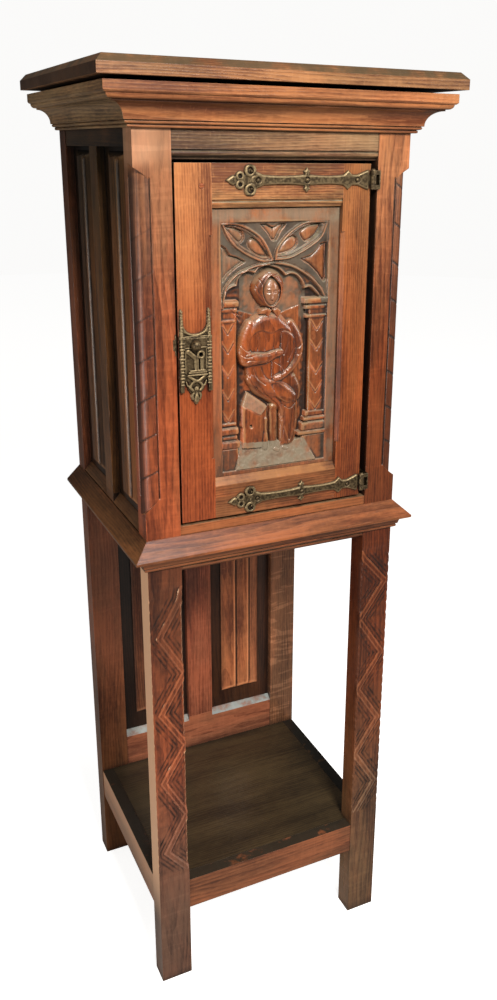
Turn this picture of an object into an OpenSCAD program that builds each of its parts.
// Gothic Revival vestment cabinet on a stand, in oak, with iron strap hinges and lock.
// Millimetres, +Z up. The origin is on the floor, at the middle of the cabinet's plan.
// Inside the modules y = 0 is the front face of the corner posts; place() moves it to the origin.

/* [Overall] */
// Height from the floor to the top of the top board
total_h = 1400; // [1350:5:1450]
// Height of the cupboard, from the upper end of the waist moulding to the top
cupboard_h = 615; // [600:1:630]
// Width over the corner posts
body_w = 398; // [370:2:430]
// Depth over the corner posts
body_d = 364; // [340:2:400]

/* [Corner posts] */
// Width of a post across the front
post_w = 50; // [46:1:54]
// Thickness of a post from front to back
post_d = 34; // [32:1:38]
// Radius of the rounded outer corner beside the cupboard
post_round = 20; // [14:1:24]
// Width of the fine groove on each side of the rounded corner
quirk_w = 2; // [1:0.25:3]
// Depth of that groove
quirk_d = 2; // [1:0.25:3]
// Lower end of the rounding, over the sill rail
round_low = 45; // [32:1:72]
// Upper end of the rounding, under the head rail
round_high = 23; // [12:1:80]
// Height of the sloping stop at the upper end
stop_top_h = 20; // [10:1:26]
// Height of the sloping stop at the lower end
stop_bottom_h = 28; // [10:1:34]

/* [Top board] */
// Thickness of the top board
top_t = 22; // [18:1:28]
// Overhang of the top board past the posts
top_over = 54; // [50:1:60]
// Chamfer along the upper edge
top_chamfer = 9; // [4:1:12]
// Thickness of the bearers that leave the shadow gap
bearer_t = 5; // [3:1:8]
// Width of a bearer
bearer_w = 38; // [24:1:44]

/* [Mouldings] */
// Height of the cornice
cornice_h = 50; // [46:1:58]
// Overhang of the cornice
cornice_over = 45; // [42:0.5:48]
// Height of the waist moulding
waist_h = 45; // [42:1:50]
// Overhang of the waist moulding
waist_over = 22.5; // [20:0.5:26]

/* [Frames] */
// Thickness of every rail and muntin
rail_t = 24; // [22:1:27]
// Step of the rail faces behind the post faces
rail_step = 1; // [0.5:0.5:2]
// Height of the head rail over the door, with its moulded edge
head_rail_h = 86; // [80:1:100]
// Height of the moulded lower edge of the head rail
head_mould_h = 12; // [10:1:16]
// Lower edge of the front and side bottom rails, under the upper end of the waist moulding
low_rail_drop = 51; // [46:1:60]
// How far the moulded edge of the sill rail hangs under the other bottom rails
sill_hang = 6; // [3:0.5:9]
// Height of the moulded lower edge of the sill rail
sill_mould_h = 11; // [10:1:14]
// Upper edge of the sill rail, over the upper end of the waist moulding
sill_rise = 13; // [9:1:17]
// Height of the side and back top rails
top_rail_h = 72; // [64:1:88]
// Upper edge of the side bottom rails, over the upper end of the waist moulding
side_rise = 15; // [13:1:19]
// Width of the side muntins
side_muntin_w = 36; // [30:1:44]
// Width of the back muntins
back_muntin_w = 48; // [40:1:56]
// Lower edge of the back middle rail, under the upper end of the waist moulding
back_mid_drop = 95; // [75:1:125]
// Upper edge of the back middle rail, over the upper end of the waist moulding
back_mid_rise = 18; // [15:1:35]
// Upper edge of the back bottom rail over the shelf, behind its bevel
back_low_rise = 68; // [54:1:84]
// Height of the bevel along the rails under the panels
bevel_h = 14; // [10:1:16]
// Height of the bevel on the stand's back bottom rail
back_bevel_h = 9; // [6:1:14]

/* [Panels] */
// Depth of a panel's ground behind the rail face
panel_in = 12; // [11:0.5:12.5]
// Thickness of a panel's tongue and ground
panel_t = 8; // [6:0.5:8]
// Depth of the grooves that hold the panels
groove_d = 7; // [5:0.5:7]
// Play between a tongue and its groove
panel_play = 0.2; // [0.15:0.05:0.4]
// Flat ground left on each side of the folds
fold_margin = 24; // [16:1:30]
// Height of the folds over the ground
fold_h = 9; // [6:0.5:10]
// Flat ground under the folds of the stand's panels
fold_foot = 32; // [20:1:50]
// Flat ground under the folds of the side panels
side_fold_foot = 12; // [8:1:30]
// Flat ground over the folds
fold_head = 6; // [4:1:20]

/* [Boards] */
// Height of the shelf's top over the floor
shelf_z1 = 186; // [170:2:210]
// Height of the shelf's rails
shelf_rail_h = 54; // [46:1:70]
// Thickness of the shelf
shelf_t = 16; // [12:1:20]
// Thickness of the cupboard's floor and ceiling boards
board_t = 14; // [10:1:18]
// Play round the boards
board_play = 0.3; // [0.2:0.1:0.6]

/* [Joints in the wood] */
// Length of a tenon
tenon_l = 18; // [12:1:20]
// Thickness of a tenon
tenon_t = 8; // [6:0.5:9]
// Step from a rail's edge to its tenon
shoulder = 9; // [8:0.5:10]
// Play between a tenon and its mortise
tenon_play = 0.15; // [0.1:0.05:0.3]

/* [Door] */
// Thickness of the door frame
door_t = 28; // [25:1:30]
// Gap beside the lock stile
door_gap_lock = 3; // [2.5:0.25:4]
// Gap beside the hinge stile, for the knuckles
door_gap_hinge = 11.5; // [11:0.5:14]
// Gap over the door
door_gap_top = 4; // [2:0.5:6]
// Gap under the door
door_gap_bottom = 5; // [2:0.5:7]
// Width of the lock stile
lock_stile_w = 50; // [48:1:56]
// Width of the hinge stile
hinge_stile_w = 42; // [38:1:48]
// Height of the top rail, with its moulding
door_top_h = 57; // [54:1:64]
// Height of the top rail's moulded edge
door_mould_h = 12; // [8:1:14]
// Height of the bottom rail, with its bevel
door_bottom_h = 57; // [52:1:66]
// Height of the bottom rail's bevel
door_bevel_h = 10; // [6:1:14]
// Chamfer along the inner edges of the stiles
stile_chamfer = 5; // [2:0.5:7]
// Distance from the panel opening's ends to the stops of the chamfers
chamfer_stop = 32; // [20:1:60]
// Radius of the pegs through the tenons
peg_r = 3.5; // [2.5:0.25:5]

/* [Carved panel] */
// Depth of the panel's flat border behind the door face
border_in = 9; // [8:0.5:10]
// Depth of the sunk field behind the door face
field_in = 20; // [18:0.5:21]
// Width of the border at the sides
border_w = 15; // [12:1:18]
// Width of the border at the top
border_top = 17; // [12:1:20]
// Height of the arch's springing over the panel opening's lower edge
arch_spring = 248; // [240:1:260]
// Rise of the arch
arch_rise = 46; // [40:1:50]
// Width of the arch's raised rim
rim_w = 4; // [3:0.5:5]
// Width of a pilaster
pilaster_w = 24; // [18:1:26]
// Width of the leaves in the tracery
leaf_w = 34; // [28:1:38]
// Depth of the fine cuts: the marks on the pilasters and the zigzag on the legs
cut_depth = 1; // [0.5:0.1:1.5]

/* [Zigzag on the front legs] */
// Height of one turn of the zigzag
zigzag_pitch = 126; // [100:2:150]
// Lower end of the zigzag, over the shelf
zigzag_low = 30; // [20:2:60]
// Upper end of the zigzag, under the upper end of the waist moulding
zigzag_high = 84; // [75:1:110]
// Distance between its two lines
zigzag_gap = 11; // [8:1:16]
// Width of a line
zigzag_line = 2.2; // [1.5:0.1:3]

/* [Hinges] */
// Distance from the door's edge to the middle of a hinge
hinge_inset = 21; // [20.5:0.5:25]
// Length of the strap, from the pin to the tip
strap_l = 217; // [205:1:225]
// Height of the strap's bar
bar_w = 10.5; // [8:0.5:12]
// Thickness of the strap's bar
bar_t = 3; // [2:0.25:3.5]
// Thickness of the flat parts of the strap
plate_t = 2; // [1.5:0.25:2.5]
// How far the strap's flat work reaches under its bar
bar_lap = 3; // [1:0.5:6]
// Outer radius of the knuckles
knuckle_r = 4; // [3.5:0.25:4.25]
// Height of the whole barrel
barrel_h = 25; // [22:1:30]
// Height of the strap's middle knuckle
mid_knuckle_h = 13; // [10:1:14]
// Radius of the hinge pin
pin_r = 1.6; // [1.2:0.1:2]
// Running play round the pin
pin_play = 0.05; // [0.03:0.01:0.08]
// Play between the knuckles, end to end
knuckle_gap = 0.3; // [0.2:0.05:0.5]
// Radius of the domed nail heads
nail_r = 3; // [2:0.25:3.5]

/* [Lock] */
// Height of the lock's bolt over the door's lower edge
lock_up = 252; // [217:5:267]
// Half width of the lock plate, without its buttresses
lock_half_w = 17.5; // [15:0.5:18]
// Width of a buttress beside the plate
buttress_w = 5; // [3:0.5:5]
// Radius of the pull knob
knob_r = 6.8; // [5:0.2:8]
// Radius of the keyhole
keyhole_r = 3; // [2:0.25:3.5]
// Height of the bolt
bolt_h = 14; // [8:1:16]
// Thickness of the bolt
bolt_t = 7; // [5:0.5:8]
// How far the bolt is thrown
bolt_throw = 9; // [7:0.5:10]
// Thickness of the keeper's plate
keeper_t = 1.5; // [1:0.25:2]
// Play round the bolt
bolt_play = 0.35; // [0.3:0.05:0.6]

/* [Hidden] */
$fn = 48;
eps = 0.01;

oak_dark = [0.27, 0.14, 0.08];
oak_red = [0.50, 0.24, 0.12];
oak_pale = [0.66, 0.44, 0.28];
oak_black = [0.16, 0.10, 0.07];
iron = [0.42, 0.39, 0.30];

half_w = body_w / 2;
front_y = (top_over - body_d) / 2;
open_half = half_w - post_w;
board_top_z0 = total_h - top_t;
frame_z1 = board_top_z0 - bearer_t;
cornice_z0 = frame_z1 - cornice_h;
waist_top = total_h - cupboard_h;
head_z0 = frame_z1 - head_rail_h;
top_rail_z0 = frame_z1 - top_rail_h;
low_rail_z0 = waist_top - low_rail_drop;
sill_z0 = low_rail_z0 - sill_hang;
sill_z1 = waist_top + sill_rise;
side_rail_z1 = waist_top + side_rise;
back_mid_z0 = waist_top - back_mid_drop;
back_mid_z1 = waist_top + back_mid_rise;
back_low_z1 = shelf_z1 + back_low_rise;
round_z0 = sill_z1 + round_low;
round_z1 = head_z0 - round_high;
// The boards stop short of the panels' tongues
rabbet_w = rail_t - panel_in - panel_t;
back_face = body_d - post_d + rail_step;
side_face = half_w - rail_step;

door_x0 = -open_half + door_gap_lock;
door_x1 = open_half - door_gap_hinge;
door_z0 = sill_z1 + door_gap_bottom;
door_z1 = head_z0 - door_gap_top;
field_x0 = door_x0 + lock_stile_w;
field_x1 = door_x1 - hinge_stile_w;
field_z0 = door_z0 + door_bottom_h;
field_z1 = door_z1 - door_top_h;
field_mid = (field_x0 + field_x1) / 2;
field_half = (field_x1 - field_x0) / 2;
door_tongue_y = 14;

hinge_x = door_x1 + 2;
hinge_y = -knuckle_r - 0.2;
upper_z = door_z1 - hinge_inset;
lower_z = door_z0 + hinge_inset;
leaf_t = 1.6;
leaf_y1 = 26;
// Nails of a strap, from the pin: through the flared end, the middle collar and the scrolls
nail_at = [24, (strap_l - 15) / 2, strap_l - 45];
shank_r = 1;
lock_x = door_x0 + 23;
lock_z = door_z0 + lock_up;
bolt_y = 18;
case_y = 14;
case_x1 = door_x0 + 40;
case_h = 60;
bolt_tail_x = door_x0 + 34;

module place() {
    translate([0, front_y, 0]) children();
}

module box(x0, x1, y0, y1, z0, z1) {
    translate([x0, y0, z0]) cube([x1 - x0, y1 - y0, z1 - z0]);
}

// A drawing in x and z, carried from y0 to y1
module along_y(y0, y1) {
    translate([0, y1, 0]) rotate([90, 0, 0]) linear_extrude(y1 - y0) children();
}

// A drawing in y and z, carried from x0 to x1
module along_x(x0, x1) {
    translate([x0, 0, 0]) rotate([90, 0, 90]) linear_extrude(x1 - x0) children();
}

// Points on an arc round (cx, cy) from angle a0 to a1
function arc(cx, cy, r, a0, a1, n = 8) =
    [for (i = [0:n]) [cx + r * cos(a0 + (a1 - a0) * i / n), cy + r * sin(a0 + (a1 - a0) * i / n)]];

// A moulding's drawing, stretched to its own overhang and height
function fitted(pts, draw, over, h) = [for (p = pts) [p[0] * over / draw[0], p[1] * h / draw[1]]];

// Cornice outline: overhang, then height over its lower edge
cornice_draw = [45, 50];
cornice_pts = fitted(concat([[0, 0], [5, 0]], arc(5, 2, 2, -90, 80, 5), [[9, 4.6]],
    arc(9, 6.6, 2, -90, 80, 5), [[13, 8.8]], arc(32, 9.5, 19, 180, 90, 10),
    [[32.5, 28.5], [32.5, 30.5]], arc(35, 36.5, 6, -90, 0, 6),
    [[43, 37], [45, 39], [45, 50], [0, 50]]), cornice_draw, cornice_over, cornice_h);

// Waist outline: a weathered slope over a small bed moulding
waist_draw = [22.5, 45];
waist_pts = fitted(concat([[0, 0], [3, 0]], arc(3, 3, 3, -90, 60, 5), [[7.5, 6.5], [8.5, 9.5]],
    arc(15.5, 9.5, 7, 180, 95, 6), [[18.5, 17.5], [22.5, 19.5], [22.5, 23], [0, 45]]),
    waist_draw, waist_over, waist_h);

// Folds of a linenfold panel: two leaves that rise from the left and one that falls to the right
function fold_pts(w) = concat([[-w / 2, -eps], [-w / 2, fold_h * 0.25]],
    [for (i = [1:6]) [-w / 2 + w * 0.36 * i / 6, fold_h * (0.25 + 0.55 * sin(90 * i / 6))]],
    [[-w * 0.13, fold_h * 0.5]],
    [for (i = [1:6]) [-w * 0.13 + w * 0.34 * i / 6, fold_h * (0.5 + 0.5 * sin(90 * i / 6))]],
    [[w * 0.22, fold_h * 0.72]],
    [for (i = [1:6]) [w * 0.22 + w * 0.28 * i / 6,
        fold_h * (0.72 - 0.52 * (1 - cos(90 * i / 6)))]],
    [[w / 2, -eps]]);

// Plan of a front moulding between its two mitres, and of the left one behind its mitre
module front_mitre(z0, z1) {
    m = top_over + 20;
    translate([0, 0, z0]) linear_extrude(z1 - z0)
        polygon([[-half_w - m, -m], [half_w + m, -m], [half_w, 0], [-half_w, 0]]);
}

module left_mitre(z0, z1) {
    m = top_over + 20;
    translate([0, 0, z0]) linear_extrude(z1 - z0)
        polygon([[-half_w - m, -m], [-half_w, 0], [-half_w, body_d], [-half_w - m, body_d]]);
}

module front_moulding(pts, z0, h) {
    intersection() {
        along_x(-half_w - top_over, half_w + top_over) polygon([for (p = pts) [-p[0], z0 + p[1]]]);
        front_mitre(z0 - 1, z0 + h + 1);
    }
}

module left_moulding(pts, z0, h) {
    intersection() {
        along_y(-top_over, body_d) polygon([for (p = pts) [-half_w - p[0], z0 + p[1]]]);
        left_mitre(z0 - 1, z0 + h + 1);
    }
}

// Tenons of a rail between two posts across the cabinet; play enlarges them into mortises
module tenons_x(z0, z1, y0, play = 0) {
    y1 = y0 + (rail_t - tenon_t) / 2;
    for (s = [-1, 1])
        box(min(s * (open_half - eps), s * (open_half + tenon_l + play)),
            max(s * (open_half - eps), s * (open_half + tenon_l + play)),
            y1 - play, y1 + tenon_t + play, z0 + shoulder - play, z1 - shoulder + play);
}

// Tenons of a left side rail, at the front and at the back
module tenons_y(z0, z1, play = 0) {
    x0 = -side_face + (rail_t - tenon_t) / 2;
    box(x0 - play, x0 + tenon_t + play, post_d - tenon_l - play, post_d + eps,
        z0 + shoulder - play, z1 - shoulder + play);
    box(x0 - play, x0 + tenon_t + play, body_d - post_d - eps, body_d - post_d + tenon_l + play,
        z0 + shoulder - play, z1 - shoulder + play);
}

module all_tenons_x(play) {
    tenons_x(head_z0 + head_mould_h, frame_z1, rail_step, play);
    tenons_x(low_rail_z0, sill_z1, rail_step, play);
    tenons_x(shelf_z1 - shelf_rail_h, shelf_z1 - shelf_t, rail_step, play);
    tenons_x(top_rail_z0, frame_z1, back_face, play);
    tenons_x(back_mid_z0, back_mid_z1, back_face, play);
    tenons_x(shelf_z1 - shelf_rail_h, back_low_z1, back_face, play);
}

module all_tenons_y(play) {
    tenons_y(top_rail_z0, frame_z1, play);
    tenons_y(low_rail_z0, side_rail_z1, play);
    tenons_y(shelf_z1 - shelf_rail_h, shelf_z1 - shelf_t, play);
}

// Bays between the posts and the muntins, as [low, high]
function side_bay(i) = i == 0 ? [post_d, (body_d - side_muntin_w) / 2]
    : [(body_d + side_muntin_w) / 2, body_d - post_d];
function back_bay(i) = i == 0 ? [-open_half, -back_muntin_w / 2] : [back_muntin_w / 2, open_half];

// Tongued ground of a left side panel; play enlarges it into the grooves
module side_ground(bay, play = 0) {
    x0 = -side_face + panel_in;
    d = groove_d + play;
    box(x0 - play, x0 + panel_t + play, bay[0] - d, bay[1] + d, side_rail_z1 - d, top_rail_z0 + d);
}

module back_ground(bay, z0, z1, play = 0) {
    y0 = back_face + panel_in;
    d = groove_d + play;
    box(bay[0] - d, bay[1] + d, y0 - play, y0 + panel_t + play, z0 - d, z1 + d);
}

module side_grounds(play) {
    side_ground([side_bay(0)[0], side_bay(1)[1]], play);
}

module back_grounds(play) {
    back_ground([-open_half, open_half], back_mid_z1, top_rail_z0, play);
    back_ground([-open_half, open_half], back_low_z1, back_mid_z0, play);
}

// A board let into the rabbets of its four rails, and notched round the posts
module inset_board(z1, t, play = 0) {
    x1 = side_face - rail_t + rabbet_w - board_play + play;
    y0 = rail_step + rail_t - rabbet_w + board_play - play;
    y1 = back_face + rabbet_w - board_play + play;
    difference() {
        box(-x1, x1, y0, y1, z1 - t, z1);
        for (s = [-1, 1]) for (y = [-1, body_d - post_d - board_play])
            box(s * half_w - post_w - board_play, s * half_w + post_w + board_play, y,
                y + post_d + 1 + board_play, z1 - t - 1, z1 + 1);
    }
}

// Room for a board: its own shape, the play round it, and the rabbet's open top
module rabbet(z1, t) {
    inset_board(z1 + 20, t + 20, board_play);
}

// The outer corner of a front post is rounded beside the cupboard, between two sloping stops
module corner_round() {
    intersection() {
        difference() {
            box(-half_w - 1, -half_w + post_round, -1, post_round, round_z0 - 60, round_z1 + 60);
            translate([-half_w + post_round, post_round, round_z0 - 61])
                cylinder(r = post_round, h = round_z1 - round_z0 + 122);
        }
        along_y(-2, post_round + 1)
            polygon([[-half_w + post_round, round_z0], [-half_w - 2, round_z0 - stop_bottom_h],
                [-half_w - 2, round_z1 + stop_top_h], [-half_w + post_round, round_z1]]);
    }
}

// Fine grooves that part the rounded corner from the front and from the side of the post
module quirks() {
    x = -half_w + post_round;
    box(x, x + quirk_w, -1, quirk_d, round_z0, round_z1);
    box(-half_w - 1, -half_w + quirk_d, post_round, post_round + quirk_w, round_z0, round_z1);
}

module post_blank(y0) {
    difference() {
        box(-half_w, -open_half, y0, y0 + post_d, 0, frame_z1);
        all_tenons_x(tenon_play);
        all_tenons_y(tenon_play);
        side_grounds(panel_play);
        back_grounds(panel_play);
    }
}

// Double zigzag, cut down the front of the left leg: each line is a cut of its own, clear of the next
module zigzag() {
    outer_x = -half_w + 7;
    inner_x = -open_half - 5;
    z0 = shelf_z1 + zigzag_low;
    n = floor((waist_top - zigzag_high - z0 - zigzag_gap) / zigzag_pitch * 2);
    for (d = [0, zigzag_gap]) for (i = [0:n - 1]) {
        a = [i % 2 == 0 ? inner_x : outer_x, z0 + d + i * zigzag_pitch / 2];
        b = [i % 2 == 0 ? outer_x : inner_x, z0 + d + (i + 1) * zigzag_pitch / 2];
        p = a + (b - a) * 0.02;
        q = b - (b - a) * 0.02;
        along_y(-1, cut_depth) polygon([p, q, q + [0, zigzag_line], p + [0, zigzag_line]]);
    }
}

module front_left_post() {
    color(oak_pale) place() difference() {
        post_blank(0);
        corner_round();
        quirks();
        zigzag();
        keeper_plate(tenon_play);
        bolt_way();
    }
}

module front_right_post() {
    color(oak_red) place() mirror([1, 0, 0]) difference() {
        post_blank(0);
        corner_round();
        quirks();
        zigzag();
        mirror([1, 0, 0]) for (z = [upper_z, lower_z]) leaf_seat(z);
    }
}

module back_left_post() {
    color(oak_dark) place() post_blank(body_d - post_d);
}

module back_right_post() {
    color(oak_dark) place() mirror([1, 0, 0]) post_blank(body_d - post_d);
}

module top_board() {
    o = top_over;
    color(oak_pale) place() difference() {
        box(-half_w - o, half_w + o, -o, body_d, board_top_z0, total_h);
        along_x(-half_w - o - 1, half_w + o + 1)
            polygon([[-o - 1, total_h - top_chamfer - 1], [-o - 1, total_h + 1],
                [-o + top_chamfer + 1, total_h + 1]]);
        for (s = [-1, 1]) along_y(-o - 1, body_d + 1)
            polygon([[s * (half_w + o + 1), total_h - top_chamfer - 1],
                [s * (half_w + o + 1), total_h + 1],
                [s * (half_w + o - top_chamfer - 1), total_h + 1]]);
    }
}

module top_bearers() {
    color(oak_black) place() for (s = [-1, 1]) translate([s * (half_w - 8 - bearer_w / 2), 0, 0])
        box(-bearer_w / 2, bearer_w / 2, 6, body_d - 6, frame_z1, board_top_z0);
}

module cornice_front() {
    color(oak_pale) place() front_moulding(cornice_pts, cornice_z0, cornice_h);
}

module cornice_left() {
    color(oak_dark) place() left_moulding(cornice_pts, cornice_z0, cornice_h);
}

module cornice_right() {
    color(oak_dark) place() mirror([1, 0, 0]) left_moulding(cornice_pts, cornice_z0, cornice_h);
}

module waist_front() {
    color(oak_pale) place() front_moulding(waist_pts, waist_top - waist_h, waist_h);
}

module waist_left() {
    color(oak_black) place() left_moulding(waist_pts, waist_top - waist_h, waist_h);
}

module waist_right() {
    color(oak_dark) place() mirror([1, 0, 0]) left_moulding(waist_pts, waist_top - waist_h, waist_h);
}

// Head rail: a quirk, a bead and a hollow run along its lower edge
// Section of a front rail whose lower edge has a bead under a quirk, and a hollow
function moulded_rail(z0, z1, m) = let (f = rail_step) concat(
    [[f, z1], [f, z0 + m], [f + 2.5, z0 + m], [f + 2.5, z0 + m - 1.5]],
    arc(f + 3, z0 + m - 4.5, 3, 100, 250, 6), [[f + 3.5, z0 + 3.5]], arc(f + 3.5, z0, 3.5, 90, 0, 5),
    [[f + rail_t, z0], [f + rail_t, z1]]);

module head_rail() {
    color(oak_pale) place() difference() {
        union() {
            along_x(-open_half, open_half) polygon(moulded_rail(head_z0, frame_z1, head_mould_h));
            tenons_x(head_z0 + head_mould_h, frame_z1, rail_step);
        }
        rabbet(frame_z1, board_t);
    }
}

module sill_rail() {
    color(oak_red) place() difference() {
        union() {
            along_x(-open_half, open_half) polygon(moulded_rail(sill_z0, sill_z1, sill_mould_h));
            tenons_x(low_rail_z0, sill_z1, rail_step);
        }
        rabbet(sill_z1, board_t);
    }
}

module side_top_rail() {
    difference() {
        union() {
            box(-side_face, -side_face + rail_t, post_d, body_d - post_d, top_rail_z0, frame_z1);
            tenons_y(top_rail_z0, frame_z1);
        }
        side_grounds(panel_play);
        rabbet(frame_z1, board_t);
    }
}

module side_bottom_rail() {
    difference() {
        union() {
            box(-side_face, -side_face + rail_t, post_d, body_d - post_d, low_rail_z0, side_rail_z1);
            tenons_y(low_rail_z0, side_rail_z1);
        }
        side_grounds(panel_play);
        rabbet(sill_z1, board_t);
        for (i = [0, 1]) along_y(side_bay(i)[0], side_bay(i)[1])
            polygon([[-side_face - 1, side_rail_z1 - bevel_h], [-side_face - 1, side_rail_z1 + 1],
                [-side_face + panel_in, side_rail_z1 + 1], [-side_face + panel_in, side_rail_z1],
                [-side_face, side_rail_z1 - bevel_h]]);
    }
}

// Muntin with a stub tenon at each end, grooved for the panels on both sides
module side_muntin() {
    y0 = side_bay(0)[1];
    y1 = side_bay(1)[0];
    x0 = -side_face + panel_in;
    difference() {
        union() {
            box(-side_face, -side_face + rail_t, y0, y1, side_rail_z1, top_rail_z0);
            box(x0, x0 + panel_t, y0 + 1 + groove_d, y1 - 1 - groove_d, side_rail_z1 - groove_d,
                top_rail_z0 + groove_d);
        }
        for (i = [0, 1]) side_ground(side_bay(i), panel_play);
    }
}

// A linenfold panel: its ground, and the folds with a sloping cut at both ends
module side_panel(i) {
    bay = side_bay(i);
    w = bay[1] - bay[0] - 2 * fold_margin;
    x0 = -side_face + panel_in;
    z0 = side_rail_z1 + side_fold_foot;
    z1 = top_rail_z0 - fold_head;
    union() {
        side_ground(bay);
        intersection() {
            translate([x0, (bay[0] + bay[1]) / 2, z0]) rotate([0, 0, 90])
                linear_extrude(z1 - z0) polygon(fold_pts(w));
            along_y(bay[0], bay[1]) polygon([[x0 + 1, z0], [x0, z0], [x0 - fold_h - 1, z0 + fold_h],
                [x0 - fold_h - 1, z1 - fold_h], [x0, z1], [x0 + 1, z1]]);
        }
    }
}

module left_top_rail() {
    color(oak_black) place() side_top_rail();
}

module left_bottom_rail() {
    color(oak_dark) place() side_bottom_rail();
}

module left_muntin() {
    color(oak_dark) place() side_muntin();
}

module left_front_panel() {
    color(oak_dark) place() side_panel(0);
}

module left_rear_panel() {
    color(oak_black) place() side_panel(1);
}

module right_top_rail() {
    color(oak_dark) place() mirror([1, 0, 0]) side_top_rail();
}

module right_bottom_rail() {
    color(oak_dark) place() mirror([1, 0, 0]) side_bottom_rail();
}

module right_muntin() {
    color(oak_dark) place() mirror([1, 0, 0]) side_muntin();
}

module right_front_panel() {
    color(oak_dark) place() mirror([1, 0, 0]) side_panel(0);
}

module right_rear_panel() {
    color(oak_dark) place() mirror([1, 0, 0]) side_panel(1);
}

module back_rail(z0, z1) {
    box(-open_half, open_half, back_face, back_face + rail_t, z0, z1);
}

module back_top_rail() {
    color(oak_dark) place() difference() {
        union() {
            back_rail(top_rail_z0, frame_z1);
            tenons_x(top_rail_z0, frame_z1, back_face);
        }
        back_grounds(panel_play);
        rabbet(frame_z1, board_t);
    }
}

module back_middle_rail() {
    color(oak_dark) place() difference() {
        union() {
            back_rail(back_mid_z0, back_mid_z1);
            tenons_x(back_mid_z0, back_mid_z1, back_face);
        }
        back_grounds(panel_play);
        rabbet(sill_z1, board_t);
    }
}

module back_bottom_rail() {
    z0 = shelf_z1 - shelf_rail_h;
    color(oak_red) place() difference() {
        union() {
            back_rail(z0, back_low_z1);
            tenons_x(z0, back_low_z1, back_face);
        }
        back_grounds(panel_play);
        inset_board(shelf_z1, shelf_t, board_play);
        for (i = [0, 1]) along_x(back_bay(i)[0], back_bay(i)[1])
            polygon([[back_face - 1, back_low_z1 - back_bevel_h], [back_face - 1, back_low_z1 + 1],
                [back_face + panel_in, back_low_z1 + 1], [back_face + panel_in, back_low_z1],
                [back_face, back_low_z1 - back_bevel_h]]);
    }
}

module back_muntin(z0, z1) {
    x1 = back_muntin_w / 2;
    y0 = back_face + panel_in;
    difference() {
        union() {
            box(-x1, x1, back_face, back_face + rail_t, z0, z1);
            box(-x1 + groove_d + 1, x1 - groove_d - 1, y0, y0 + panel_t, z0 - groove_d, z1 + groove_d);
        }
        for (i = [0, 1]) back_ground(back_bay(i), z0, z1, panel_play);
    }
}

module back_upper_muntin() {
    color(oak_dark) place() back_muntin(back_mid_z1, top_rail_z0);
}

module back_lower_muntin() {
    color(oak_red) place() back_muntin(back_low_z1, back_mid_z0);
}

module back_upper_left_panel() {
    color(oak_dark) place() back_ground(back_bay(0), back_mid_z1, top_rail_z0);
}

module back_upper_right_panel() {
    color(oak_dark) place() back_ground(back_bay(1), back_mid_z1, top_rail_z0);
}

module linenfold_back(i) {
    bay = back_bay(i);
    w = bay[1] - bay[0] - 2 * fold_margin;
    y0 = back_face + panel_in;
    z0 = back_low_z1 + fold_foot;
    z1 = back_mid_z0 - fold_head;
    union() {
        back_ground(bay, back_low_z1, back_mid_z0);
        intersection() {
            translate([(bay[0] + bay[1]) / 2, y0, z0]) mirror([0, 1, 0])
                linear_extrude(z1 - z0) polygon(fold_pts(w));
            along_x(bay[0], bay[1]) polygon([[y0 + 1, z0], [y0, z0], [y0 - fold_h - 1, z0 + fold_h],
                [y0 - fold_h - 1, z1 - fold_h], [y0, z1], [y0 + 1, z1]]);
        }
    }
}

module back_lower_left_panel() {
    color(oak_dark) place() linenfold_back(0);
}

module back_lower_right_panel() {
    color(oak_red) place() linenfold_back(1);
}

module cupboard_ceiling() {
    color(oak_black) place() inset_board(frame_z1, board_t);
}

module cupboard_floor() {
    color(oak_black) place() inset_board(sill_z1, board_t);
}

module shelf_board() {
    color(oak_black) place() inset_board(shelf_z1, shelf_t);
}

module shelf_front_rail() {
    z0 = shelf_z1 - shelf_rail_h;
    color(oak_red) place() difference() {
        union() {
            box(-open_half, open_half, rail_step, rail_step + rail_t, z0, shelf_z1);
            tenons_x(z0, shelf_z1 - shelf_t, rail_step);
        }
        rabbet(shelf_z1, shelf_t);
    }
}

module shelf_side_rail() {
    z0 = shelf_z1 - shelf_rail_h;
    difference() {
        union() {
            box(-side_face, -side_face + rail_t, post_d, body_d - post_d, z0, shelf_z1);
            tenons_y(z0, shelf_z1 - shelf_t);
        }
        rabbet(shelf_z1, shelf_t);
    }
}

module shelf_left_rail() {
    color(oak_pale) place() shelf_side_rail();
}

module shelf_right_rail() {
    color(oak_dark) place() mirror([1, 0, 0]) shelf_side_rail();
}

// Tenons of the door's rails; play enlarges them into mortises
module door_tenons(play = 0) {
    l = 26;
    y0 = door_t - 17;
    for (r = [[door_z1 - door_top_h + door_mould_h, door_z1],
            [door_z0, door_z0 + door_bottom_h - door_bevel_h]])
        for (x = [[field_x0 - l - play, field_x0 + eps], [field_x1 - eps, field_x1 + l + play]])
            box(x[0], x[1], y0 - play, y0 + tenon_t + play, r[0] + shoulder - play, r[1] - shoulder + play);
}

// Places of the pegs, in x and z
peg_at = [[field_x0 - 14, door_z1 - 28], [field_x1 + 14, door_z1 - 28],
    [field_x0 - 14, door_z0 + 24], [field_x1 + 14, door_z0 + 24]];

module pegs(play = 0) {
    for (p = peg_at) translate([p[0], door_t - 1, p[1]]) rotate([90, 0, 0])
        cylinder(r = peg_r + play, h = door_t - 2 + play * 3, $fn = 32);
}

// The one peg that shows stands a little proud of the lock stile
module shown_peg(play = 0) {
    translate([peg_at[0][0], 2, peg_at[0][1]]) rotate([90, 0, 0])
        cylinder(r = peg_r + play, h = 2.6, $fn = 32);
}

// Blank of the carved panel's tongue, which the door frame's grooves hold
module door_ground(play = 0) {
    d = groove_d + play;
    box(field_x0 - d, field_x1 + d, door_tongue_y - play, door_tongue_y + panel_t + play,
        field_z0 - d, field_z1 + d);
}

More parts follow.
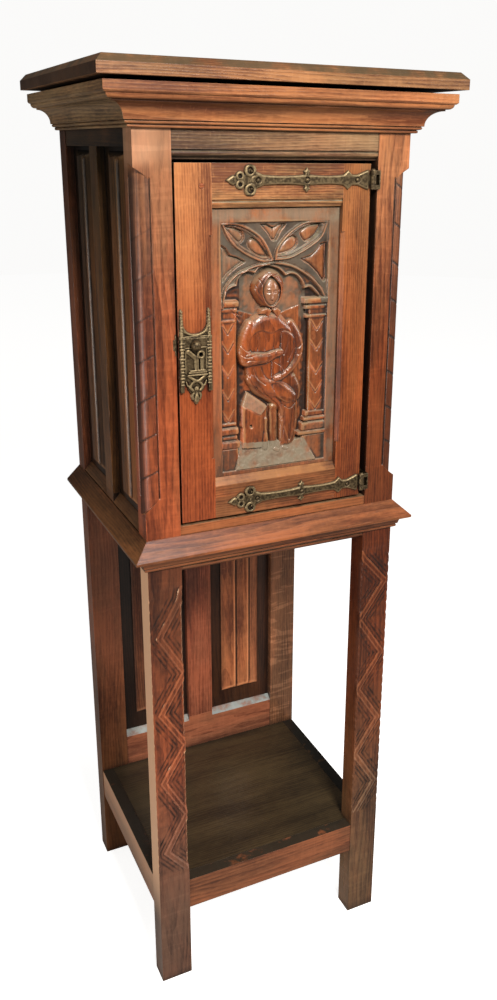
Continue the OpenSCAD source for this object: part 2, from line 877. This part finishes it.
module shanks(play = 0) {
    for (z = [upper_z, lower_z]) for (a = nail_at)
        translate([hinge_x - a, 12, z]) rotate([90, 0, 0])
            cylinder(r = shank_r + play, h = 16.5, $fn = 24);
}

// Stopped chamfer along an inner edge of a stile
module stile_edge(x) {
    z0 = field_z0 + chamfer_stop;
    z1 = field_z1 - chamfer_stop;
    translate([x, 0, z0]) rotate([0, 0, 45])
        translate([-stile_chamfer / sqrt(2), -stile_chamfer / sqrt(2), 0])
        cube([stile_chamfer * sqrt(2), stile_chamfer * sqrt(2), z1 - z0]);
}

module keyhole(y0, y1) {
    translate([lock_x + 7, y1, lock_z - 14]) rotate([90, 0, 0])
        cylinder(r = keyhole_r, h = y1 - y0, $fn = 32);
    box(lock_x + 3.5, lock_x + 6, y0, y1, lock_z - 37, lock_z - 13);
}

module door_lock_stile() {
    color(oak_red) place() difference() {
        box(door_x0, field_x0, 0, door_t, door_z0, door_z1);
        door_tenons(tenon_play);
        door_ground(panel_play);
        pegs(tenon_play);
        shown_peg(tenon_play);
        stile_edge(field_x0);
        case_block(tenon_play);
        keyhole(-1, case_y + 1);
        knob_shank(tenon_play);
    }
}

module door_hinge_stile() {
    color(oak_red) place() difference() {
        box(field_x1, door_x1, 0, door_t, door_z0, door_z1);
        door_tenons(tenon_play);
        door_ground(panel_play);
        pegs(tenon_play);
        stile_edge(field_x1);
        shanks(tenon_play);
    }
}

// Top rail: a bead and a hollow lead down to the carved panel
module door_top_rail() {
    z = field_z1;
    m = door_mould_h;
    color(oak_red) place() difference() {
        union() {
            along_x(field_x0, field_x1) polygon(concat(
                [[0, door_z1], [0, z + m], [2, z + m - 0.5], [2, z + m - 2]],
                arc(4, z + m - 4.5, 2.5, 110, 250, 6),
                arc(border_in + 1, z + 0.5, border_in - 4, 170, 100, 5),
                [[border_in + 1, z], [door_t, z], [door_t, door_z1]]));
            intersection() {
                door_tenons();
                box(field_x0 - 60, field_x1 + 60, 0, door_t, z, door_z1);
            }
        }
        door_ground(panel_play);
        pegs(tenon_play);
        shanks(tenon_play);
    }
}

module door_bottom_rail() {
    z = field_z0;
    color(oak_red) place() difference() {
        union() {
            along_x(field_x0, field_x1) polygon([[0, door_z0], [0, z - door_bevel_h],
                [border_in, z], [door_t, z], [door_t, door_z0]]);
            intersection() {
                door_tenons();
                box(field_x0 - 60, field_x1 + 60, 0, door_t, door_z0, z);
            }
        }
        door_ground(panel_play);
        pegs(tenon_play);
        shanks(tenon_play);
    }
}

module door_pegs() {
    color(oak_dark) place() difference() {
        union() {
            pegs();
            shown_peg();
        }
        shanks(tenon_play);
    }
}

// Geometry of the carving, in x from the panel's middle and z over its lower edge
sunk_half = field_half - border_w;
sunk_z1 = field_z1 - border_top;
sunk_z0 = field_z0 + 6;
spring_z = field_z0 + arch_spring;
arch_half = sunk_half - 2;
// Each half of the pointed arch is an arc through the springing and the apex
arch_r = 110;
arch_d = norm([arch_half, arch_rise]) / 2;
arch_a = atan2(arch_rise, arch_half);
arch_c = [arch_half / 2 + sqrt(arch_r * arch_r - arch_d * arch_d) * sin(arch_a) - arch_half,
    arch_rise / 2 - sqrt(arch_r * arch_r - arch_d * arch_d) * cos(arch_a)];

// The pointed arch: two arcs that meet at the apex
module arch_2d(grow) {
    intersection() {
        translate(arch_c) circle(r = arch_r + grow, $fn = 96);
        translate([-arch_c[0], arch_c[1]]) circle(r = arch_r + grow, $fn = 96);
        translate([-arch_half - 20, 0]) square([2 * arch_half + 40, arch_rise + 20]);
    }
}

// A pointed leaf between two points, bulging by w / 2 on each side
module leaf_2d(p, q, w) {
    l = norm(q - p) / 2;
    r = (l * l + w * w / 4) / w;
    a = atan2(q[1] - p[1], q[0] - p[0]);
    translate((p + q) / 2) rotate(a) intersection() {
        translate([0, r - w / 2]) circle(r = r, $fn = 96);
        translate([0, w / 2 - r]) circle(r = r, $fn = 96);
    }
}

// The same drawing on both sides of the panel's middle
module both() {
    for (s = [0, 1]) mirror([s, 0]) children();
}

// The leaves' two ends, in x and z over the springing: at the arch's apex and in the upper corner
leaf_low = [1, arch_rise + 3];
leaf_high = [sunk_half - 1, sunk_z1 - spring_z - 1];

// A point on a leaf's axis, at share t of its length
function leaf_at(t) = leaf_low + (leaf_high - leaf_low) * t;

// Tracery over the arch: raised work between two pierced leaves, side spandrels and a top one
module tracery() {
    c = sunk_half - 7;
    r = arch_rise;
    t = sunk_z1 - spring_z;
    difference() {
        translate([-sunk_half, 0]) square([2 * sunk_half, t]);
        arch_2d(0);
        both() {
            leaf_2d(leaf_at(0.03), leaf_at(0.97), leaf_w - 5);
            polygon([[c, r + 16], [c - 11, r + 14], [c - 19, r + 8], [c - 32, r + 3], [c - 21, r - 4],
                [c - 8, r - 16], [c, r - 20]]);
            polygon([[-eps, t - 6], [20, t - 3], [9, t - 13], [-eps, t - 25]]);
        }
    }
}

// Raised rims of the leaves
module leaf_rims() {
    both() difference() {
        leaf_2d(leaf_low, leaf_high, leaf_w + 2);
        leaf_2d(leaf_at(0.04), leaf_at(0.96), leaf_w - 4);
    }
}

// Two foils lie in each leaf, with a cusp between them
module foils() {
    both() {
        leaf_2d(leaf_at(0.07), leaf_at(0.47), leaf_w / 2);
        leaf_2d(leaf_at(0.53), leaf_at(0.92), leaf_w * 0.46);
    }
}

// Round openings between the cusps of the arch, in x, z over the springing, and radius
arch_foils = [[0, arch_rise - 31, 27], [26, arch_rise - 37, 22], [arch_half - 26, arch_rise - 55, 21]];

// The arch with its cusps: what the round openings leave of it
module cusped_arch(outer, inner) {
    intersection() {
        difference() {
            arch_2d(outer);
            both() for (f = arch_foils) translate([f[0], f[1]]) circle(r = f[2] + inner, $fn = 64);
        }
        translate([-sunk_half, 0]) square([2 * sunk_half, sunk_z1 - spring_z]);
    }
}

// Five cuts shaped like a V down a pilaster's shaft
module v_marks(x) {
    w = pilaster_w / 2 - 3;
    for (i = [0:4]) translate([x, 0, spring_z - 50 - i * 29]) along_y(border_in, border_in + 3 + cut_depth)
        polygon([[0, 0], [w, 11], [w, 12.6], [0, 1.6], [-w, 12.6], [-w, 11]]);
}

module pilaster() {
    x0 = sunk_half - pilaster_w;
    x1 = sunk_half;
    b = border_in;
    difference() {
        box(x0, x1, b + 3, field_in + 1, sunk_z0, spring_z - 6);
        v_marks((x0 + x1) / 2);
    }
    for (r = [[-32, -28, 1], [-10, -6, 1.5], [-6, 0, 3]])
        box(x0 - r[2], x1, b + 3 - r[2] / 2, field_in + 1, spring_z + r[0], spring_z + r[1]);
    for (r = [[68, 62, 1], [62, 52, 3], [52, 46, 1], [46, 36, 4], [36, 0, 1]])
        box(x0 - r[2], x1, b + 3 - r[2] / 2, field_in + 1, sunk_z0 + r[1], sunk_z0 + r[0]);
}

module capsule(a, b, ra, rb) {
    hull() {
        translate(a) sphere(r = ra, $fn = 20);
        translate(b) sphere(r = rb, $fn = 20);
    }
}

module ball(p, r) {
    translate(p) sphere(r = r, $fn = 20);
}

// The seated musician: hooded head, shoulders, bent arms, lap, and a robe down to the feet
module seated_figure() {
    head_z = sunk_z0 + 251;
    translate([-8, 12.5, head_z]) sphere(r = 11, $fn = 32);
    translate([-9, 21, head_z - 27]) rotate_extrude($fn = 32)
        polygon([[0, 0], [11, 0], [16, 8], [18, 22], [17, 36], [12, 47], [5, 55], [0, 56]]);
    hull() {
        ball([-23, 20, head_z - 54], 17);
        ball([13, 20, head_z - 58], 17);
        ball([-26, 20, head_z - 117], 15);
        ball([6, 20, head_z - 117], 14);
    }
    capsule([-34, 16, head_z - 58], [-44, 14, head_z - 91], 12, 11);
    capsule([-40, 12, head_z - 95], [6, 9, head_z - 84], 9, 5);
    capsule([20, 16, head_z - 59], [31, 14, head_z - 85], 12, 10);
    capsule([31, 12, head_z - 87], [2, 9, head_z - 119], 8, 5.5);
    hull() {
        ball([-26, 20, head_z - 127], 17);
        ball([25, 13, head_z - 147], 13);
        ball([-2, 17, head_z - 145], 14);
    }
    hull() {
        ball([26, 14, head_z - 153], 12);
        ball([11, 15, head_z - 163], 8);
        ball([26, 18, sunk_z0 + 35], 10);
        ball([11, 18, sunk_z0 + 33], 8);
    }
    translate([2, 17, sunk_z0 + 24]) cylinder(r = 7, h = 62, $fn = 32);
}

// Ground slab, the boxlike stool with its sloping seat, and the bottle that stands between stool and robe
module seat_and_ground() {
    z = sunk_z0;
    along_y(8, field_in + 1) polygon([[-60, z], [68, z], [49, z + 28], [-51, z + 30]]);
    along_y(9, field_in + 1) polygon([[-49, z + 29], [-20.5, z + 29], [-20.5, z + 76], [-49, z + 93]]);
    along_y(13, field_in + 1) polygon([[-49, z + 93], [-20.5, z + 76], [-9.5, z + 86], [-41.5, z + 112]]);
    translate([-13, 17, z + 26]) rotate_extrude($fn = 24)
        polygon([[0, 0], [5, 0], [6, 12], [5, 20], [2.5, 25], [2.5, 33], [0, 33]]);
}

module carved_panel() {
    mid = field_mid;
    color(oak_red) place() union() {
        door_ground();
        difference() {
            box(field_x0 + eps, field_x1 - eps, border_in, door_t - 1, field_z0 + eps, field_z1 - eps);
            box(mid - sunk_half, mid + sunk_half, border_in - 1, field_in, sunk_z0, sunk_z1);
        }
        translate([mid, 0, spring_z]) {
            along_y(border_in + 3, field_in + 1) tracery();
            along_y(border_in + 1.5, field_in + 1) leaf_rims();
            along_y(border_in + 6, field_in + 1) foils();
            along_y(border_in + 1, field_in + 1) cusped_arch(rim_w, rim_w * 0.8);
            along_y(border_in + 5, field_in + 1) cusped_arch(0, 0);
        }
        for (s = [-1, 1]) translate([mid, 0, 0]) mirror([s < 0 ? 1 : 0, 0, 0]) pilaster();
        translate([mid, 0, 0]) seat_and_ground();
        intersection() {
            translate([mid, 0, 0]) seated_figure();
            box(mid - sunk_half, mid + sunk_half, 0, field_in + 1, sunk_z0 - 1, sunk_z1);
        }
    }
}

// Middle of the scrolls, and the ears behind the tip, from the pin
scroll_x = strap_l - 34;
ear_x = strap_l - 20;
scroll_z = 12;

// Outline of the strap's flat work, in x from the pin towards the tip and z from its middle
module strap_2d() {
    m = nail_at[1];
    union() {
        polygon([[strap_l - 15, -5], [strap_l - 6, -4], [strap_l, 0], [strap_l - 6, 4], [strap_l - 15, 5]]);
        for (s = [-1, 1]) translate([ear_x, s * 4.5]) circle(r = 6, $fn = 32);
        translate([scroll_x - 16, -6]) square([26, 12]);
        translate([scroll_x - 18 - bar_lap, -bar_w / 4]) square([bar_lap + 4, bar_w / 2]);
        for (s = [-1, 1]) translate([scroll_x, s * scroll_z]) circle(r = 7.5, $fn = 40);
        for (s = [-1, 1]) polygon([[scroll_x - 7, s * 10], [scroll_x - 18, s * 5], [scroll_x - 18, 0],
            [scroll_x, 0]]);
    }
    translate([m, 0]) circle(r = 7, $fn = 32);
    for (s = [-1, 1]) polygon([[m - 4, 0], [m - 2, s * 9], [m - 3.5, s * 11.5], [m, s * 15],
        [m + 3.5, s * 11.5], [m + 2, s * 9], [m + 4, 0]]);
    for (s = [-1, 1]) polygon([[44, 0], [42, s * 9], [38, s * 12], [35, s * 9], [32, s * 6], [24, s * 6],
        [9, s * barrel_h / 2], [6, s * barrel_h / 2], [6, 0]]);
}

// Raised scroll: a ring round a hollow, with a curl in its middle, and a drop on the tip
module scrolls() {
    for (s = [-1, 1]) translate([scroll_x, -plate_t, s * scroll_z]) {
        rotate([90, 0, 0]) rotate_extrude() translate([6, 0]) circle(r = 1.4, $fn = 24);
        translate([-2, 0.4, -s * 1.2]) sphere(r = 2, $fn = 24);
    }
    translate([strap_l - 9, -plate_t + 1, 0]) sphere(r = 3, $fn = 24);
}

module scroll_hollows() {
    for (s = [-1, 1]) translate([scroll_x, -plate_t / 2, s * scroll_z]) rotate([90, 0, 0])
        cylinder(r = 5, h = plate_t);
    for (s = [-1, 1]) translate([ear_x, -plate_t / 2, s * 5]) rotate([90, 0, 0])
        cylinder(r = 3, h = plate_t, $fn = 32);
}

// A strap hinge on the door's face: half-round bar, flat ornament and the middle knuckle
module strap_hinge(z) {
    r = (bar_w * bar_w / 4 + bar_t * bar_t) / (2 * bar_t);
    difference() {
        union() {
            translate([hinge_x, 0, z]) mirror([1, 0, 0]) {
                difference() {
                    along_y(-plate_t, 0) strap_2d();
                    scroll_hollows();
                }
                intersection() {
                    scrolls();
                    box(0, strap_l, -10, 0, -barrel_h, barrel_h);
                }
            }
            intersection() {
                translate([hinge_x - scroll_x + 18, r - bar_t, z]) rotate([0, 90, 0])
                    cylinder(r = r, h = scroll_x - 58, $fn = 64);
                box(hinge_x - strap_l, hinge_x, -bar_t - 1, 0, z - bar_w, z + bar_w);
            }
            box(hinge_x - 9, hinge_x, -plate_t, -0.2, z - mid_knuckle_h / 2, z + mid_knuckle_h / 2);
            translate([hinge_x, hinge_y, z - mid_knuckle_h / 2])
                cylinder(r = knuckle_r, h = mid_knuckle_h);
        }
        translate([hinge_x, hinge_y, z - barrel_h])
            cylinder(r = pin_r + pin_play, h = 2 * barrel_h);
        for (s = [-1, 1])
            translate([hinge_x, hinge_y, z + s * (barrel_h + mid_knuckle_h) / 2 - barrel_h / 2])
            cylinder(r = knuckle_r + knuckle_gap, h = barrel_h);
        shanks(tenon_play);
    }
}

// The post's leaf: two knuckles, a bent arm, and a plate let into the side of the post
module post_leaf(z) {
    a = (barrel_h - mid_knuckle_h) / 2 - knuckle_gap;
    difference() {
        union() {
            for (s = [-1, 1]) {
                zc = z + s * (barrel_h - a) / 2;
                translate([hinge_x, hinge_y, zc - a / 2]) cylinder(r = knuckle_r, h = a);
                box(hinge_x, open_half + leaf_t, hinge_y - leaf_t / 2, hinge_y + leaf_t / 2,
                    zc - a / 2, zc + a / 2);
            }
            box(open_half, open_half + leaf_t, hinge_y - leaf_t / 2, leaf_y1,
                z - barrel_h / 2, z + barrel_h / 2);
        }
        translate([hinge_x, hinge_y, z - barrel_h]) cylinder(r = pin_r + 0.02, h = 2 * barrel_h);
    }
}

module leaf_seat(z) {
    p = tenon_play;
    box(open_half - 1, open_half + leaf_t + p, -1, leaf_y1 + p, z - barrel_h / 2 - p,
        z + barrel_h / 2 + p);
}

module hinge_pin(z) {
    translate([hinge_x, hinge_y, z - barrel_h / 2]) cylinder(r = pin_r, h = barrel_h);
    translate([hinge_x, hinge_y, z + barrel_h / 2]) cylinder(r1 = knuckle_r - 0.5, r2 = pin_r, h = 2);
}

module upper_strap_hinge() {
    color(iron) place() strap_hinge(upper_z);
}

module lower_strap_hinge() {
    color(iron) place() strap_hinge(lower_z);
}

module upper_post_leaf() {
    color(iron) place() post_leaf(upper_z);
}

module lower_post_leaf() {
    color(iron) place() post_leaf(lower_z);
}

module upper_hinge_pin() {
    color(iron) place() hinge_pin(upper_z);
}

module lower_hinge_pin() {
    color(iron) place() hinge_pin(lower_z);
}

// Domed nails through the straps
module hinge_nails() {
    color(iron) place() for (z = [upper_z, lower_z]) for (i = [0:2]) {
        y = i == 1 ? -bar_t : -plate_t;
        translate([hinge_x - nail_at[i], 0, z]) {
            intersection() {
                translate([0, y + 0.6, 0]) sphere(r = nail_r);
                box(-nail_r, nail_r, y - nail_r, y, -nail_r, nail_r);
            }
            translate([0, 11.5, 0]) rotate([90, 0, 0]) cylinder(r = shank_r, h = 11.5 - y, $fn = 24);
        }
    }
}

// Lock plate: a pointed foot, a hollow top between two buttresses, a keyhole rim and a band
module lock_plate_2d() {
    w = lock_half_w;
    difference() {
        translate([-w, -52]) square([2 * w, 80]);
        translate([0, 30]) circle(r = 17, $fn = 64);
        translate([-13, 27]) square([26, 10]);
        for (s = [-1, 1]) translate([s * 16, -56]) circle(r = 8, $fn = 32);
    }
    polygon([[-9, -50], [-12, -60], [-6, -68], [-5, -76], [0, -81], [5, -76], [6, -68], [12, -60],
        [9, -50]]);
}

module buttress(s) {
    x = s * (lock_half_w + buttress_w / 2);
    for (r = [[-64, -20, 1, 5.5], [-20, 12, 0.8, 5], [12, 34, 0.6, 4.5]])
        translate([x, 0, r[0]]) translate([-buttress_w * r[2] / 2, -r[3], 0])
            cube([buttress_w * r[2], r[3], r[1] - r[0]]);
    translate([x, -2.2, 34]) cylinder(r1 = 1.8, r2 = 0.4, h = 9, $fn = 24);
}

module lock_plate() {
    color(iron) place() difference() {
        translate([lock_x, 0, lock_z]) union() {
            along_y(-2.5, 0) lock_plate_2d();
            for (s = [-1, 1]) buttress(s);
            box(-lock_half_w, lock_half_w, -4, -2, -6, 8);
            translate([7, -2, -14]) rotate([90, 0, 0]) cylinder(r = keyhole_r + 3, h = 2, $fn = 40);
            box(-1.8, 3.5, -4, -2, -37, -17);
            box(6, 10, -4, -2, -37, -17);
            box(-6, 12, -4.5, -2, -42, -38);
            translate([0, -2, -64]) rotate([90, 0, 0]) cylinder(r = 4, h = 3, $fn = 32);
        }
        keyhole(-8, 1);
        knob_shank(tenon_play);
    }
}

module knob_shank(play = 0) {
    translate([lock_x - 2, 8, lock_z]) rotate([90, 0, 0]) cylinder(r = 1.6 + play, h = 12.5, $fn = 24);
}

module pull_knob() {
    color(iron) place() union() {
        knob_shank();
        translate([lock_x - 2, -4, lock_z]) rotate([90, 0, 0]) rotate_extrude()
            polygon(concat([[0, 0], [4, 0], [3, 1.5], [3, 3]], arc(0, 5 + knob_r * 0.3, knob_r, -30, 90, 9)));
    }
}

module case_block(play = 0) {
    box(door_x0 - 1, case_x1 + play, case_y - play, door_t + 1, lock_z - case_h / 2 - 10 - play,
        lock_z + case_h / 2 - 10 + play);
}

module bolt_shape(x0, x1, play = 0) {
    box(x0, x1, bolt_y - play, bolt_y + bolt_t + play, lock_z - bolt_h / 2 - play,
        lock_z + bolt_h / 2 + play);
}

// The bolt's way into the post
module bolt_way() {
    bolt_shape(door_x0 - bolt_throw - 3, -open_half + 1, bolt_play);
}

module lock_case() {
    color(iron) place() difference() {
        box(door_x0, case_x1, case_y, door_t, lock_z - case_h / 2 - 10, lock_z + case_h / 2 - 10);
        bolt_shape(door_x0 - 1, bolt_tail_x + bolt_play, bolt_play);
        keyhole(case_y - 1, case_y + 3);
    }
}

module lock_bolt() {
    color(iron) place() bolt_shape(door_x0 + 0.2, bolt_tail_x);
}

// Keeper: a plate let into the post, with a hole for the bolt and a lip on the post's face
module keeper_plate(play = 0) {
    box(-open_half - keeper_t - play, -open_half + (play > 0 ? 1 : 0), play > 0 ? -2 : -1, 30 + play,
        lock_z - 14 - play, lock_z + 14 + play);
}

module keeper() {
    color(iron) place() difference() {
        union() {
            keeper_plate();
            box(-open_half - 4, -open_half - 1, -1, 0, lock_z - 7, lock_z + 7);
        }
        bolt_shape(-open_half - 3, -open_half + 1, bolt_play);
    }
}

top_board();
top_bearers();
cornice_front();
cornice_left();
cornice_right();
front_left_post();
front_right_post();
back_left_post();
back_right_post();
head_rail();
sill_rail();
left_top_rail();
left_bottom_rail();
left_muntin();
left_front_panel();
left_rear_panel();
right_top_rail();
right_bottom_rail();
right_muntin();
right_front_panel();
right_rear_panel();
back_top_rail();
back_middle_rail();
back_bottom_rail();
back_upper_muntin();
back_lower_muntin();
back_upper_left_panel();
back_upper_right_panel();
back_lower_left_panel();
back_lower_right_panel();
cupboard_ceiling();
cupboard_floor();
waist_front();
waist_left();
waist_right();
shelf_front_rail();
shelf_left_rail();
shelf_right_rail();
shelf_board();
door_lock_stile();
door_hinge_stile();
door_top_rail();
door_bottom_rail();
carved_panel();
door_pegs();
upper_strap_hinge();
lower_strap_hinge();
upper_post_leaf();
lower_post_leaf();
upper_hinge_pin();
lower_hinge_pin();
hinge_nails();
lock_plate();
pull_knob();
lock_case();
lock_bolt();
keeper();
